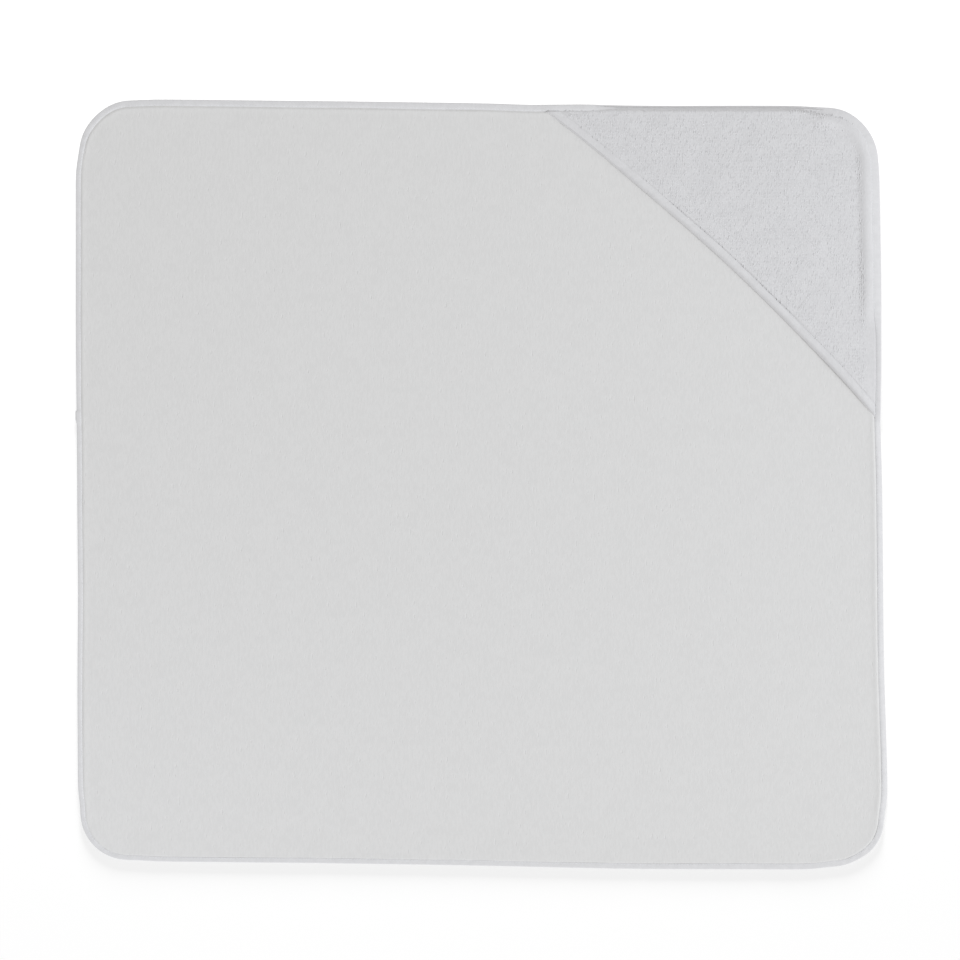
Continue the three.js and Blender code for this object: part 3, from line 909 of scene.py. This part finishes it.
def patch_mesh(grid, kept_cells):
    """The kept cells of a grid of points, as a bare surface."""
    rows, columns = grid.shape[:2]
    index = np.arange(rows * columns).reshape(rows, columns)
    cells = np.stack([index[:-1, :-1], index[1:, :-1], index[1:, 1:], index[:-1, 1:]], -1)[kept_cells]
    mesh = bpy.data.meshes.new("patch")
    mesh.from_pydata(grid.reshape(-1, 3).tolist(), [], cells.tolist())
    return mesh


on_outer_side = (half_length - flat_x) < (half_width - flat_y)
bare_hem = np.where(on_outer_side, 13 * MM + 2.5 * MM * smooth(flat_y, 190 * MM, 240 * MM), 6.2 * MM)
past_hem = edge_depth(flat_x, flat_y) - bare_hem
past_tape = in_grid - MOUTH_TAPE_WIDTH - (0.5 + 0.9 * creased(flat_x, flat_y)) * MM
piled = (past_hem > 0) & (past_tape > 0)

# The loops lie deeper beside the hem and towards the corner, where the pile is pressed.
from_corner = np.hypot(half_length - flat_x, half_width - flat_y)
beside_hem = 0.45 * MM * on_outer_side * (1 - smooth(past_hem, 0, 4 * MM))
in_corner = 0.60 * MM * (1 - smooth(from_corner, 22 * MM, 60 * MM))
sunk = LOOP_SUNK + np.minimum(beside_hem + in_corner, 0.65 * MM)
ground = patch_mesh(lowered(hood_top, sunk[..., None]), piled[:-1, :-1] & piled[1:, 1:])
extent_low, extent_high = hood_top.reshape(-1, 3).min(0), hood_top.reshape(-1, 3).max(0)
span = extent_high - extent_low
hood_loops = grown_piece(
    "hood_loops", ground, loop_tree, looped_terry, Columns=round(span[0] / COLUMN_PITCH),
    Rows=round(span[1] / ROW_PITCH), Width=span[0], Depth=span[1], Jitter=LOOP_JITTER)
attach(hood_loops, "hood_corner")

# Mouth binding: the same cotton tape, wider, folded over the hood's free edge and sewn near its inner side.
# Its outer fold droops to the panel. It lies flatter at both ends, where it runs in under the edge tape.
MOUTH_STEP = 1.5 * MM
MOUTH_DROOP = 1.95 * MM
MOUTH_FLATTER = 0.7 * MM


def along_to_edge_tape(inward, towards):
    """How far along the mouth the tape runs, at each distance in from its edge, to meet the edge tape."""
    near, far = np.zeros_like(inward), np.full_like(inward, towards * mouth_half)
    for _ in range(HALVINGS):
        middle = (near + far) / 2
        x, y = mouth_point(middle, inward)
        inside = edge_depth(x, y) > tape_reach(x, y) - 0.3 * MM
        near, far = np.where(inside, middle, near), np.where(inside, far, middle)
    return near


MOUTH_SECTION = [
    (0.000, 0.00, 0.00), (0.012, 0.30, 0.00), (0.045, 0.56, 0.00), (0.100, 0.78, 0.00), (0.170, 0.91, 0.00),
    (0.270, 0.98, 0.00), (0.480, 1.00, 0.00), (0.640, 1.00, 0.00), (0.740, 1.00, 0.03), (0.800, 1.00, 0.10),
    (0.860, 1.00, 0.04), (0.920, 1.00, 0.00), (0.970, 1.00, 0.10), (1.000, 1.00, 1.00), (0.400, 1.00, 1.00),
]
MOUTH_SEAM = 9
mouth_section, over = both_leaves(MOUTH_SECTION)
section_in, section_half, section_drop = mouth_section.T[:, None, :]
section_place = section_in[0] * MOUTH_TAPE_WIDTH
tape_start, tape_stop = along_to_edge_tape(section_place, -1), along_to_edge_tape(section_place, 1)
share_along = np.linspace(0, 1, round((tape_stop - tape_start).max() / MOUTH_STEP))[:, None]
tape_along = tape_start + share_along * (tape_stop - tape_start)
mouth_along = tape_along.mean(1)
mouth_inset = section_in * (MOUTH_TAPE_WIDTH * (1 + 0.05 * ripple_along(mouth_along, 50 * MM, 41)))
tape_x, tape_y = mouth_point(tape_along, mouth_inset)

# It is flatter where it meets the edge tape and along its whole upper end.
at_edge = 1 - smooth(edge_depth(tape_x, tape_y), TAPE_INSET, 18 * MM)
upper_end = 0.95 * (1 - smooth(mouth_along, -170 * MM, -100 * MM))[:, None]
flatter = MOUTH_FLATTER * np.maximum(at_edge, upper_end)
half_height = (HOOD_RIM + 2 * LEAF) / 2 - flatter

# Each leaf dips into the seam, swells along its length, and rises and dips with each stitch.
outside = (section_drop < 0.9) & (section_half > 0.3)
swell = 1 + 0.07 * ripple_along(mouth_along, 18 * MM, 42)
stitch_wave = np.cos(2 * math.pi * mouth_along / STITCH_PITCH)[:, None]
height = (section_half * half_height - section_drop * LEAF) * np.where(outside, swell, 1)
height = height + 0.10 * MM * stitch_wave * outside * mound(section_in, 0.85, 0.10)
droop = MOUTH_DROOP * (1 - smooth(section_in, 0, 0.34))
tape_middle = HOOD_BOTTOM + HOOD_RIM / 2 + LEAF + hood_rise(tape_x, tape_y) - flatter
tape_z = np.maximum(tape_middle + over * height - droop, PANEL_TOP + 0.15 * MM)
lie_x, lie_y = laid(tape_x, tape_y)
mouth_rings = np.stack([lie_x, lie_y, tape_z], -1)
mouth_travelled = mouth_along - mouth_along[0]
mouth_binding = swept_piece(
    "mouth_tape", mouth_rings, mouth_travelled, around * MOUTH_TAPE_WIDTH, bias_tape, closed=False)
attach(mouth_binding, "hood_corner")
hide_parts("hood_mouth_binding")

# Mouth seam: a run of the same lockstitch in cotton thread, through both leaves of the mouth's tape and the
# hood's cloth: a needle thread above, drawn well into the tape, and a bobbin thread inside the pocket.
mouth_needle_path = lowered(mouth_rings[:, MOUTH_SEAM], 0.2 * MM)
mouth_bobbin_path = lowered(mouth_rings[:, -MOUTH_SEAM], -THREAD_SINK)
mouth_needle_thread = grown_piece(
    "mouth_needle_stitches", path_mesh(mouth_needle_path, False), stitch_tree, cotton_thread)
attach(mouth_needle_thread, "hood_corner")
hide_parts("mouth_needle_thread")
mouth_bobbin_thread = grown_piece(
    "mouth_bobbin_stitches", path_mesh(mouth_bobbin_path, False), stitch_tree, cotton_thread)
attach(mouth_bobbin_thread, "hood_corner")
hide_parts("mouth_bobbin_thread")
